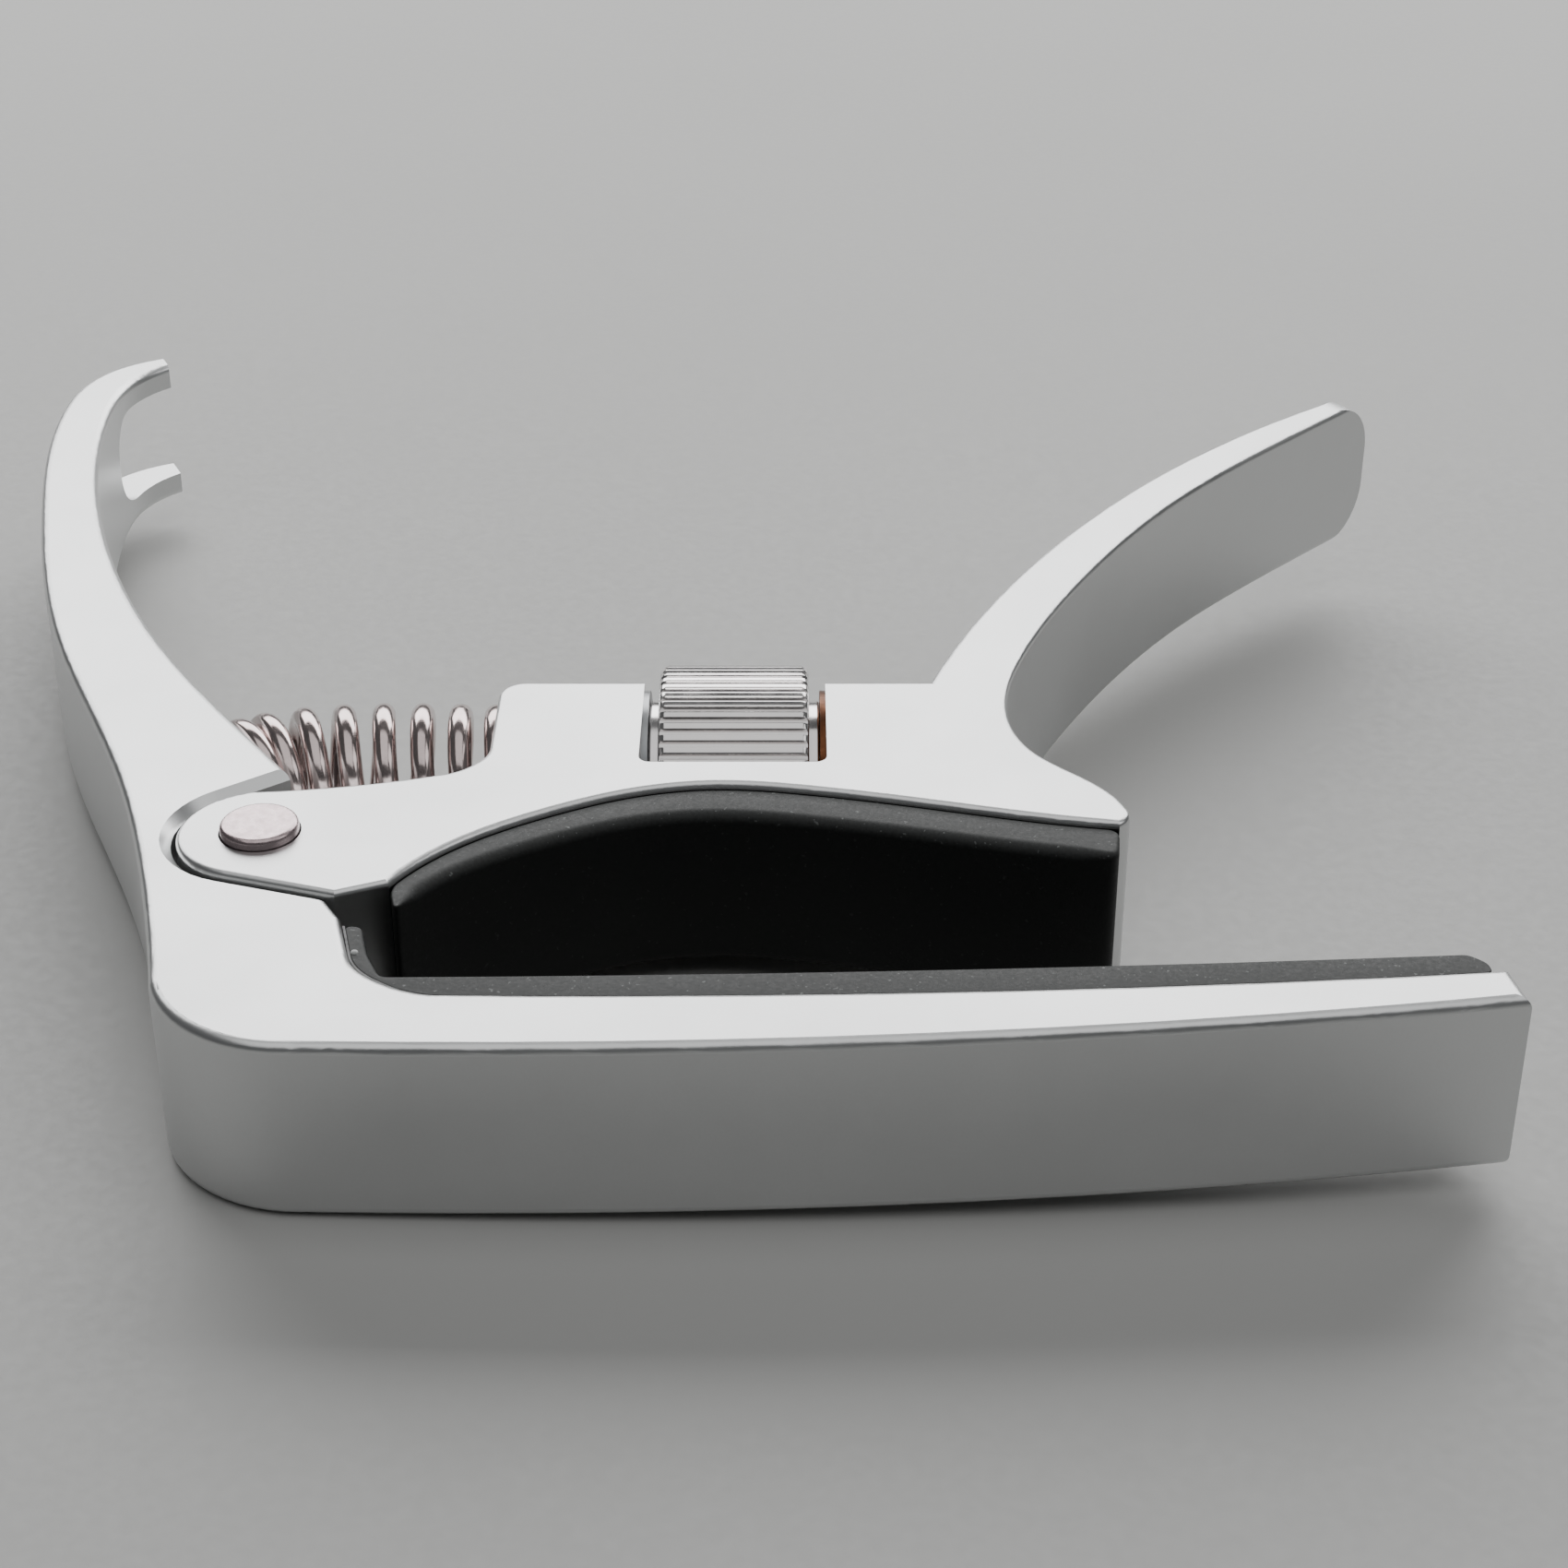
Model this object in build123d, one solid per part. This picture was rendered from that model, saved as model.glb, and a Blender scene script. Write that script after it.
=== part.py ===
from build123d import *
import math
import os

# Trigger capo for a guitar. All lengths are in millimetres.
# Outlines are drawn in plan with the hinge pin's axis at (0, 0) and z = 0 at mid thickness;
# the finished pieces are then moved so that the origin is under the middle of the whole capo.

# ---- driving dimensions: the two arms ----
BODY_H = 12.0            # thickness of both die-cast arms
EDGE_R = 0.6             # rounding of the arms' outer edges
JAW_EDGE_R = 0.4
BAR_END_X = 76.0         # end of the string bar, from the pin
BAR_INNER_Y = -18.0      # pad side of the bar at its root
BAR_T = 5.5              # the bar's thickness in plan at its root
BAR_RISE = 4.8           # how far the bar's outer face climbs to its end
BAR_OUTER_BOW = 1.67     # how far its outer face bows out between its ends
BAR_INNER_BOW = 0.83
BAR_TIP_T = 3.2          # the bar's thickness in plan at its end
BAR_CORNER_R = 0.8       # rounding of the bar's end, seen from the front

# ---- hinge ----
PIN_D = 5.0              # rivet pin
PIN_PROUD = 0.7          # how far each end of the pin stands out
PIN_CHAMFER = 0.35
PIN_RUN = 0.1            # radial running clearance in the jaw's ears
NOSE_R = 5.25            # round end of the jaw around the pin
RECESS_GAP = 0.35        # gap between that round end and the bar arm's recess
RECESS_CHAMFER = 0.65
WEDGE_RUN = 5.14         # length of the recess's upper wall, up to the wedge's tip
TONGUE_SHARE = 0.45      # share of the thickness that the bar arm's tongue takes between the jaw's ears
TONGUE_STEP = 0.35       # how much smaller than the nose the tongue is in radius
TONGUE_GAP = 0.5         # gap between the tongue and the jaw's web
WEB_X = 1.5              # where the jaw's web starts, between its two ears
WASHER_T = 0.3           # thrust washer on each side of the tongue
WASHER_STEP = 0.5        # how much smaller than the tongue the washers are in radius
WASHER_RUN = 0.04        # side play at each washer face
JAW_OPENING = 20.0       # degrees that the jaw opens
OPEN_SPARE = 4.0         # degrees left between the web and the tongue's root at that opening

# ---- pads ----
PAD_END_GAP = 1.0        # from the string pad's end to the bar's
PAD_INSET = 0.4          # how far the pads stay below the arms' faces
STRING_PAD_T = 2.3
LIP_T = 1.2              # the string pad's upstand in the corner
NECK_PAD_T = 3.3
GLUE_T = 0.15

# ---- tension mechanism in the jaw's ridge ----
RIDGE_Y = 20.0           # back face of the ridge
RIDGE_CORNER_R = 1.8     # rounding of the ridge's corner above the spring
SCREW_DEPTH = 2.8        # from that face to the axis of the knob, the screw and the spring's seat
POST_X = 13.5            # left face of the left post, where the spring starts
WINDOW_X = 23.4          # left wall of the knob's window
WINDOW_W = 12.4
WINDOW_GAP = 0.7         # between the knob and the window's front wall
WINDOW_R = 0.8
KNOB_D = 15.4
KNOB_HUB_L = 0.69        # how far each hub stands out of the knurled rim
KNOB_TEETH = 54
KNOB_GROOVE = 0.28       # depth of the knurl
KNOB_CHAMFER = 0.45
KNOB_HUB_D = 10.6
KNOB_WASHER_STEP = 0.7   # how much larger than the hub the washers are in radius
KNOB_WASHER_T = 0.4
KNOB_SIDE_PLAY = 0.06
INSERT_WALL = 1.3        # wall of the knob's threaded brass core
SCREW_D = 3.0
SCREW_RUN = 0.05
SCREW_TRAVEL = 1.4       # two turns of the knob at a pitch of 0.7
SCREW_BLIND = 4.0        # depth of the bore in the right post
KEY_D = 1.0              # pin that stops the screw from turning
KEY_SLOT_DEPTH = 0.8
KEY_FROM_POST = 6.2      # from the left post's face to that pin
SEAT_T = 0.9
SEAT_INSET = 2.0         # how deep in the left post the spring's seat lies
SEAT_GAP = 0.2           # between the seat's flange and its recess
SEAT_SPIGOT_L = 1.8

# ---- spring ----
WIRE_D = 1.6
COIL_INSET = 0.95        # how far the coils stay inside the arms' faces
SPRING_TURNS = 8.0
SPRING_PHASE = 0.12      # share of a turn at which the wire starts, from its side towards the handle's end
SPRING_END_TURNS = 0.75  # turns at each end that lie flat
SPRING_END_SHARE = 0.055 # share of the centre line that those turns take
SPRING_BOW = 5.5         # how far the spring keeps the direction of each seat
SPRING_CLEAR = 0.2       # between the end coils and what they sit on
SPIGOT_CLEAR = 0.425     # between the coils and the seat's spigot
PEG_CLEAR = 0.625        # between the coils and the peg on the handle
PEG_L = 2.4
PEG_GAP = 0.15           # under the peg's head
PEG_STEM_D = 2.6
PEG_STEM_L = 3.4

# ---- fork at the end of the handle, for pulling bridge pins ----
FORK_TINE_T = 2.0
FORK_ROOT_Y = 72.8       # centre of the slot's round root

# ---- values worked out from the driving dimensions ----
HALF_H = BODY_H / 2
TONGUE_R = NOSE_R - TONGUE_STEP
TONGUE_Z = TONGUE_SHARE * HALF_H
WASHER_R = TONGUE_R - WASHER_STEP
EAR_Z = TONGUE_Z + WASHER_T + 2 * WASHER_RUN
RECESS_R = NOSE_R + RECESS_GAP
SCREW_Y = RIDGE_Y - SCREW_DEPTH
WINDOW_Y = SCREW_Y - KNOB_D / 2 - WINDOW_GAP
WINDOW_END = WINDOW_X + WINDOW_W
KNOB_MID = WINDOW_X + WINDOW_W / 2
KNOB_LEN = WINDOW_W - 2 * (KNOB_WASHER_T + KNOB_SIDE_PLAY)
KNOB_RIM = KNOB_LEN - 2 * KNOB_HUB_L
KNOB_WASHER_D = KNOB_HUB_D + 2 * KNOB_WASHER_STEP
INSERT_D = SCREW_D + 2 * INSERT_WALL
COIL_D = BODY_H - WIRE_D - 2 * COIL_INSET
SEAT_D = COIL_D + WIRE_D + 0.05
SEAT_SPIGOT_D = COIL_D - WIRE_D - 2 * SPIGOT_CLEAR
PEG_D = COIL_D - WIRE_D - 2 * PEG_CLEAR
FORK_SLOT_W = BODY_H - 2 * FORK_TINE_T
BAR_OUTER_Y = BAR_INNER_Y - BAR_T
BAR_TIP_OUT = BAR_OUTER_Y + BAR_RISE
BAR_TIP_IN = BAR_TIP_OUT + BAR_TIP_T
BAR_END_IN = BAR_END_X - 0.6
BAR_ROOT_X = 13.5        # where the bar's pad side turns up into the corner
PAD_END_X = BAR_END_IN - PAD_END_GAP
HIP = (6.3, -9.8)        # top of the wall that the string pad's upstand covers
HIP_FOOT = (7.2, BAR_INNER_Y + 0.56 * (HIP[1] - BAR_INNER_Y))

# The straight edges of the round nose and of its recess leave their circles along these normals.
LOWER_NORMAL = (-0.307, -0.952)
UPPER_NORMAL = (-0.600, 0.800)

# Arch of the jaw over the back of the neck, from the hinge to the jaw's end.
ARCH = [
    (8.8, -6.0), (12.8, -1.0), (18.3, 2.8), (23.0, 5.0), (28.5, 6.05), (34.0, 5.5), (42.0, 3.7), (54.2, 1.0)
]

# Handle: outer side from the fork down to the corner, inner side from above the wedge up to the fork.
HANDLE_OUT = [(-20.8, 79.7), (-25.6, 75.2), (-26.9, 66.5), (-24.5, 49.0), (-18.6, 26.8),
              (-10.4, 7.0), (-6.4, -6.0), (-3.9, BAR_OUTER_Y + 6.5)]
HANDLE_IN = [(-3.4, 13.7), (-10.7, 25.4), (-16.3, 37.6), (-21.1, 53.8), (-22.8, 67.0),
             (-22.0, 74.4), (-19.8, 77.6)]

# Trigger: outer side from the ridge to its tip, inner side from its tip round to the jaw's end.
TRIGGER_OUT = [(43.0, RIDGE_Y), (46.9, 30.0), (53.1, 41.7), (62.9, 55.3), (72.0, 64.6), (81.2, 71.9)]
TRIGGER_IN = [(82.0, 70.6), (74.2, 62.4), (63.8, 50.4), (55.4, 36.9), (49.6, 23.7), (48.1, 15.5),
              (49.6, 10.2), (53.2, 6.1), (54.9, 2.9)]
TRIGGER_TIP_R = 4.4      # rounding of the trigger's end, seen from the front


def along(normal, distance, run):
    """Point on the line that lies `distance` from the pin along `normal`, `run` further on."""
    nx, ny = normal
    return (nx * distance - ny * run, ny * distance + nx * run)


def shifted(points, dx=0.0, dy=0.0):
    return [(x + dx, y + dy) for x, y in points]


def bowed(start, end, bow):
    """Three points of a shallow curve between two points; bow is its height to the left of the way."""
    (ax, ay), (bx, by) = start, end
    run = math.hypot(bx - ax, by - ay)
    points = []
    for share in (0.25, 0.5, 0.75):
        rise = 4 * bow * share * (1 - share) / run
        points.append((ax + share * (bx - ax) - rise * (by - ay), ay + share * (by - ay) + rise * (bx - ax)))
    return points


def slab(face, low, high):
    """Flat outline carried from one height to another."""
    return extrude(Pos(0, 0, low) * face, amount=high - low)


def rod(diameter, start, length):
    """Round bar along X on the screw's axis."""
    return Pos(start, SCREW_Y, 0) * Rot(0, 90, 0) * Cylinder(
        diameter / 2, length, align=(Align.CENTER, Align.CENTER, Align.MIN)
    )


def disc(radius, low, high):
    return Pos(0, 0, low) * Cylinder(radius, high - low, align=(Align.CENTER, Align.CENTER, Align.MIN))


# ---- plan outlines ----
def bar_outline():
    """Bar and handle in one L, with the recess for the jaw's nose."""
    root = (5.0, BAR_OUTER_Y)
    tip_out = (BAR_END_X, BAR_TIP_OUT)
    tip_in = (BAR_END_IN, BAR_TIP_IN)
    inner_root = (BAR_ROOT_X, BAR_INNER_Y)
    wedge_tip = along(UPPER_NORMAL, RECESS_R, -WEDGE_RUN)
    lower_start = along(LOWER_NORMAL, RECESS_R, 0)
    upper_start = along(UPPER_NORMAL, RECESS_R, 0)
    lower_end = along(LOWER_NORMAL, RECESS_R, 7.0)
    with BuildSketch() as sketch:
        with BuildLine():
            Spline(*HANDLE_OUT)
            ThreePointArc(HANDLE_OUT[-1], (-1.0, BAR_OUTER_Y + 2.1), root)
            Spline(root, *bowed(root, tip_out, -BAR_OUTER_BOW), tip_out)
            Line(tip_out, tip_in)
            Spline(tip_in, *bowed(tip_in, inner_root, BAR_INNER_BOW), inner_root)
            Spline(inner_root, (9.3, BAR_INNER_Y + 1.5), HIP_FOOT, tangents=((-1, 0), (-0.2, 1)))
            Line(HIP_FOOT, HIP)
            Line(HIP, lower_end)
            Line(lower_end, lower_start)
            ThreePointArc(lower_start, (-RECESS_R, 0), upper_start)
            Line(upper_start, wedge_tip)
            Spline(wedge_tip, *HANDLE_IN)
            Line(HANDLE_IN[-1], HANDLE_OUT[0])
        make_face()
    return sketch.sketch


def jaw_outline():
    """Arched jaw, ridge and trigger; the window is cut later."""
    nose_low = along(LOWER_NORMAL, NOSE_R, 0)
    nose_corner = along(LOWER_NORMAL, NOSE_R, 7.6)
    nose_high = (-0.20 * NOSE_R, 0.98 * NOSE_R)
    back = (4.4, NOSE_R + 0.55)
    cut = RIDGE_CORNER_R * (1 - math.sqrt(0.5))
    corner_start = (POST_X + RIDGE_CORNER_R, RIDGE_Y)
    corner_mid = (POST_X + cut, RIDGE_Y - cut)
    corner_end = (POST_X, RIDGE_Y - RIDGE_CORNER_R)
    end = ARCH[-1]
    with BuildSketch() as sketch:
        with BuildLine():
            ThreePointArc(nose_high, (-NOSE_R, 0), nose_low)
            Line(nose_low, nose_corner)
            Line(nose_corner, ARCH[0])
            Spline(*ARCH)
            ThreePointArc(end, (54.8, 1.6), TRIGGER_IN[-1])
            Spline(*reversed(TRIGGER_IN))
            Line(TRIGGER_IN[0], TRIGGER_OUT[-1])
            Spline(*reversed(TRIGGER_OUT))
            Line(TRIGGER_OUT[0], corner_start)
            ThreePointArc(corner_start, corner_mid, corner_end)
            Line(corner_end, (POST_X, 11.0))
            Spline((POST_X, 11.0), (12.6, 8.7), (10.2, 7.2), tangents=((0, -1), (-1, -0.22)))
            Spline((10.2, 7.2), back, nose_high)
        make_face()
    return sketch.sketch


def neck_pad_outline(skin):
    """Pad under the arch. `skin` is what the glue takes off at the arch."""
    outer = shifted(ARCH, dy=-skin)
    start = (ARCH[0][0] + 0.6, ARCH[0][1] - 0.8 * NECK_PAD_T)
    inner = [start] + shifted(ARCH[1:], dx=-0.3, dy=-NECK_PAD_T)
    with BuildSketch() as sketch:
        with BuildLine():
            Spline(*outer)
            Line(outer[-1], inner[-1])
            Spline(*reversed(inner))
            Line(inner[0], outer[0])
        make_face()
    return sketch.sketch


def string_pad_outline(skin):
    """Pad along the bar with an upstand in the corner; `skin` is the glue against the bar."""
    face = BAR_INNER_Y + STRING_PAD_T
    root = (BAR_ROOT_X, BAR_INNER_Y + skin)
    tip_foot = (BAR_END_IN, BAR_TIP_IN + skin)
    tip_face = (PAD_END_X - 1.0, BAR_TIP_IN + STRING_PAD_T - 0.1)
    corner = (9.3 + skin * 0.8, BAR_INNER_Y + 1.5 + skin * 0.8)
    lip_x = HIP[0] + 0.2
    lip_y = HIP[1] - 0.6
    lip_foot = (HIP_FOOT[0] + skin, HIP_FOOT[1])
    lip_face = (HIP_FOOT[0] + LIP_T, HIP_FOOT[1])
    face_start = (9.4, face)
    with BuildSketch() as sketch:
        with BuildLine():
            Spline(tip_foot, *bowed(tip_foot, root, BAR_INNER_BOW), root)
            Spline(root, corner, lip_foot, tangents=((-1, 0), (-0.2, 1)))
            Polyline(lip_foot, (lip_x + skin, lip_y), (lip_x + LIP_T, lip_y), lip_face, face_start)
            ThreePointArc(face_start, (0.55 * BAR_END_X, face + 0.75), tip_face)
            Line(tip_face, tip_foot)
        make_face()
    return sketch.sketch & Pos(PAD_END_X - BAR_END_X, 0) * Rectangle(2 * BAR_END_X, 2 * BAR_END_X)


# ---- the two castings ----
def rim_edges(solid, height, keep=None):
    """Edges that lie in the faces at plus and minus `height`."""
    edges = [e for e in solid.edges() if abs(abs(e.center().Z) - height) < 1e-4]
    edges = [e for e in edges if abs(e.bounding_box().size.Z) < 1e-4]
    return [e for e in edges if keep is None or keep(e.center())]


def near_recess(point):
    return point.X < 6.0 and abs(point.Y) < 8.2 and math.hypot(point.X, point.Y) < RECESS_R + 1.8


def bar_arm():
    """L-shaped casting: string bar, handle, pin tongue and bridge-pin fork."""
    body = slab(bar_outline(), -HALF_H, HALF_H)
    body = fillet(rim_edges(body, HALF_H, lambda p: not near_recess(p) and p.Y < 70.0 and p.X < 75.0), EDGE_R)
    body &= rounded_end((BAR_END_IN, BAR_TIP_IN), (BAR_END_X, BAR_TIP_OUT), BAR_CORNER_R)
    bevel = recess_bevel()
    body -= [bevel, mirror(bevel, Plane.XY)]
    tongue = disc(TONGUE_R, -TONGUE_Z, TONGUE_Z) + tongue_root()
    body = body + tongue
    body -= disc(PIN_D / 2, -HALF_H, HALF_H)
    body -= fork_slot()
    body -= peg_hole()
    return body


def rounded_end(corner_a, corner_b, radius):
    """Block that ends at the face between two plan corners, with that face's top and bottom rounded."""
    length = 400.0
    (ax, ay), (bx, by) = corner_a, corner_b
    block = Pos(-length / 2, 0, 0) * Box(length, length, BODY_H)
    block = fillet(block.edges().filter_by(Axis.Y).group_by(Axis.X)[-1], radius)
    return Pos(ax, ay, 0) * Rot(0, 0, math.degrees(math.atan2(bx - ax, ay - by))) * block


def recess_bevel():
    """Sloping rim of the recess at the upper face."""
    def outline(grow):
        reach = RECESS_R + grow
        ends = along(LOWER_NORMAL, reach, 0), along(UPPER_NORMAL, reach, 0)
        far = along(LOWER_NORMAL, reach, 8.0), along(UPPER_NORMAL, reach, -8.0)
        with BuildSketch() as sketch:
            with BuildLine():
                ThreePointArc(ends[0], (-reach, 0), ends[1])
                Polyline(ends[1], far[1], far[0], ends[0])
            make_face()
        return sketch.sketch
    low = Pos(0, 0, HALF_H - RECESS_CHAMFER) * outline(0.0)
    high = Pos(0, 0, HALF_H) * outline(RECESS_CHAMFER)
    return loft([low, high], ruled=True)


def tongue_root():
    """Metal between the tongue's disc and the recess wall, clear of the web of the open jaw."""
    web = math.acos(WEB_X / (TONGUE_R + TONGUE_GAP)) + math.radians(JAW_OPENING + OPEN_SPARE)
    far = 3 * RECESS_R
    with BuildSketch() as sketch:
        Circle(RECESS_R + 0.3)
        with BuildLine():
            Polyline((0, 0), (far * math.cos(web), far * math.sin(web)), (far, far), (far, -far),
                     (-1.0, -far), (-1.2, -TONGUE_R), (0, 0))
        make_face(mode=Mode.SUBTRACT)
    return slab(sketch.sketch, -TONGUE_Z, TONGUE_Z)


def fork_slot():
    """Slot between the two tines, open at the end and with a round root."""
    mouth = Pos(-22, FORK_ROOT_Y + 10, 0) * Box(16, 20, FORK_SLOT_W)
    root = Pos(-22, FORK_ROOT_Y, 0) * Rot(0, 90, 0) * Cylinder(FORK_SLOT_W / 2, 16)
    return mouth + root


def jaw_arm():
    """Casting with the arched jaw, the ridge that holds the knob, and the trigger."""
    body = slab(jaw_outline(), -HALF_H, HALF_H)
    body = fillet(rim_edges(body, HALF_H, lambda p: p.X < 80.0), JAW_EDGE_R)
    body &= rounded_end(TRIGGER_OUT[-1], TRIGGER_IN[0], TRIGGER_TIP_R)
    body -= disc(TONGUE_R + TONGUE_GAP, -EAR_Z, EAR_Z)
    body -= nose_slot()
    body -= disc(PIN_D / 2 + PIN_RUN, -HALF_H, HALF_H)
    body -= window()
    body -= rod(SCREW_D + 2 * SCREW_RUN, POST_X - 1, WINDOW_END + SCREW_BLIND - POST_X + 1)
    body -= rod(SEAT_D + 2 * SEAT_GAP, POST_X - 1, SEAT_INSET + SEAT_T + 0.1 + 1)
    body -= key_hole(KEY_D)
    return body


def nose_slot():
    """Clears the ears' inner faces all round the tongue on the side of the bar arm."""
    reach = NOSE_R + 4
    return Pos(WEB_X - reach / 2, 0, 0) * Box(reach, 2 * reach, 2 * EAR_Z)


def window():
    """Opening for the knob, through the ridge and out at its back."""
    with BuildSketch() as sketch:
        with Locations((KNOB_MID, WINDOW_Y + 10)):
            Rectangle(WINDOW_W, 20)
        fillet(sketch.vertices().group_by(Axis.Y)[0], WINDOW_R)
    return slab(sketch.sketch, -HALF_H, HALF_H)


def key_hole(diameter):
    """Upright hole through the left post, from below, on the screw's axis."""
    x = POST_X + KEY_FROM_POST
    return Pos(x, SCREW_Y, -HALF_H) * Cylinder(
        diameter / 2,
        HALF_H - SCREW_D / 2 + KEY_SLOT_DEPTH - 0.1,
        align=(Align.CENTER, Align.CENTER, Align.MIN),
    )


# ---- hinge pieces ----
def pivot_pin():
    """Rivet pin, pressed in the tongue and running in the jaw's ears."""
    length = BODY_H + 2 * PIN_PROUD
    pin = Cylinder(PIN_D / 2, length)
    return chamfer(pin.edges().filter_by(GeomType.CIRCLE), PIN_CHAMFER)


def thrust_washer(side):
    low = TONGUE_Z + WASHER_RUN
    ring = disc(WASHER_R, low, low + WASHER_T) - disc(PIN_D / 2 + PIN_RUN, low, low + WASHER_T)
    return ring if side > 0 else mirror(ring, Plane.XY)


# ---- pads ----
def pad_solid(outline):
    height = HALF_H - PAD_INSET
    return slab(outline, -height, height)


def neck_pad():
    return pad_solid(neck_pad_outline(GLUE_T))


def neck_pad_glue():
    return pad_solid(neck_pad_outline(0.0)) - pad_solid(neck_pad_outline(GLUE_T))


def string_pad():
    return pad_solid(string_pad_outline(GLUE_T))


def string_pad_glue():
    return pad_solid(string_pad_outline(0.0)) - pad_solid(string_pad_outline(GLUE_T))


# ---- tension mechanism ----
def knob_profile():
    """Round outline with a groove at each tooth space."""
    outer = KNOB_D / 2
    with BuildSketch(Plane.YZ) as sketch:
        Circle(outer)
        with PolarLocations(outer, KNOB_TEETH):
            Rectangle(2 * KNOB_GROOVE, 0.3 * math.pi * KNOB_D / KNOB_TEETH, mode=Mode.SUBTRACT)
    return sketch.sketch


def tension_knob():
    """Straight-knurled thumb wheel with a short hub on each side."""
    rim = extrude(Pos(KNOB_MID - KNOB_RIM / 2, SCREW_Y, 0) * knob_profile(), amount=KNOB_RIM)
    blank = rod(KNOB_D, KNOB_MID - KNOB_RIM / 2, KNOB_RIM)
    blank = chamfer(blank.edges().filter_by(GeomType.CIRCLE), KNOB_CHAMFER)
    hub = rod(KNOB_HUB_D, KNOB_MID - KNOB_LEN / 2, KNOB_LEN)
    return (rim & blank) + hub - rod(INSERT_D, KNOB_MID - KNOB_LEN / 2, KNOB_LEN)


def knob_insert():
    """Threaded brass core; the thread is left as a plain bore."""
    start = KNOB_MID - KNOB_LEN / 2
    return rod(INSERT_D, start, KNOB_LEN) - rod(SCREW_D + 2 * SCREW_RUN, start, KNOB_LEN)


def knob_washer(start):
    return rod(KNOB_WASHER_D, start, KNOB_WASHER_T) - rod(SCREW_D + 0.3, start, KNOB_WASHER_T)


def tension_screw():
    """Screw from the spring's seat to the bore in the right post, with a key slot underneath."""
    start = POST_X + SEAT_INSET + SEAT_T
    length = WINDOW_END + SCREW_BLIND - 0.3 - start
    slot = Pos(POST_X + KEY_FROM_POST + SCREW_TRAVEL / 2, SCREW_Y, -SCREW_D / 2) * Box(
        SCREW_TRAVEL + KEY_D + 0.4, KEY_D + 0.1, 2 * KEY_SLOT_DEPTH
    )
    return rod(SCREW_D, start, length) - slot


def spring_seat():
    """Flange in the post's recess with a spigot inside the spring."""
    face = POST_X + SEAT_INSET
    flange = rod(SEAT_D, face, SEAT_T)
    spigot = rod(SEAT_SPIGOT_D, face - SEAT_SPIGOT_L, SEAT_SPIGOT_L)
    return flange + chamfer(spigot.edges().filter_by(GeomType.CIRCLE).sort_by(Axis.X)[0], 0.5)


def screw_key_pin():
    return key_hole(KEY_D)


# ---- spring and the peg that it sits on ----
def peg_frame():
    """Where the spring meets the handle: centre on its inner face, and the way out of that face."""
    (ax, ay), (bx, by) = HANDLE_IN[0], HANDLE_IN[1]
    run = math.hypot(bx - ax, by - ay)
    ux, uy = (bx - ax) / run, (by - ay) / run
    centre = (ax + 1.4 * ux, ay + 1.4 * uy)
    return centre, (uy, -ux)


def peg_cylinder(diameter, start, length):
    (cx, cy), (nx, ny) = peg_frame()
    base = Plane(origin=(cx + start * nx, cy + start * ny, 0), z_dir=(nx, ny, 0))
    return base * Cylinder(diameter / 2, length, align=(Align.CENTER, Align.CENTER, Align.MIN))


def peg_hole():
    return peg_cylinder(PEG_STEM_D, -PEG_STEM_L, PEG_STEM_L + 2.0)


def spring_peg():
    head = peg_cylinder(PEG_D, PEG_GAP, PEG_L)
    head = chamfer(head.edges().filter_by(GeomType.CIRCLE).sort_by(Axis.X)[-1], 0.5)
    return head + peg_cylinder(PEG_STEM_D, -PEG_STEM_L, PEG_STEM_L + PEG_GAP)


def spring_axis(t):
    """Point on the spring's curved centre line, and its direction: a cubic between the two seats."""
    (cx, cy), (nx, ny) = peg_frame()
    lift = WIRE_D / 2 + SPRING_CLEAR
    a = (cx + lift * nx, cy + lift * ny)
    b = (POST_X + SEAT_INSET - lift, SCREW_Y)
    p = [a, (a[0] + SPRING_BOW * nx, a[1] + SPRING_BOW * ny), (b[0] - SPRING_BOW, b[1]), b]
    w = [(1 - t) ** 3, 3 * t * (1 - t) ** 2, 3 * t * t * (1 - t), t ** 3]
    d = [-3 * (1 - t) ** 2, 3 * (1 - t) ** 2 - 6 * t * (1 - t), 6 * t * (1 - t) - 3 * t * t, 3 * t * t]
    x, y = (sum(wi * pi[k] for wi, pi in zip(w, p)) for k in (0, 1))
    dx, dy = (sum(di * pi[k] for di, pi in zip(d, p)) for k in (0, 1))
    run = math.hypot(dx, dy)
    return (x, y), (dx / run, dy / run)


def spring_point(u):
    """Point of the wire after u of its turns; the end coils lie flat on the seats."""
    ends, flat = SPRING_END_TURNS, SPRING_END_SHARE
    share = min(max((u - ends) / (SPRING_TURNS - 2 * ends), 0.0), 1.0)
    closed = min(u, ends) + max(u - SPRING_TURNS + ends, 0.0)
    rise = flat * closed / ends + (1 - 2 * flat) * share
    (x, y), (dx, dy) = spring_axis(rise)
    angle = 2 * math.pi * (u + SPRING_PHASE)
    side = COIL_D / 2 * math.cos(angle)
    return (x - dy * side, y + dx * side, COIL_D / 2 * math.sin(angle))


def tension_spring():
    """Round wire wound on the curved centre line."""
    steps = int(SPRING_TURNS * 10)
    path = Spline(*[spring_point(SPRING_TURNS * i / steps) for i in range(steps + 1)])
    section = Plane(origin=path @ 0, z_dir=path % 0) * Circle(WIRE_D / 2)
    return sweep(section, path=path, is_frenet=True)


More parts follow.
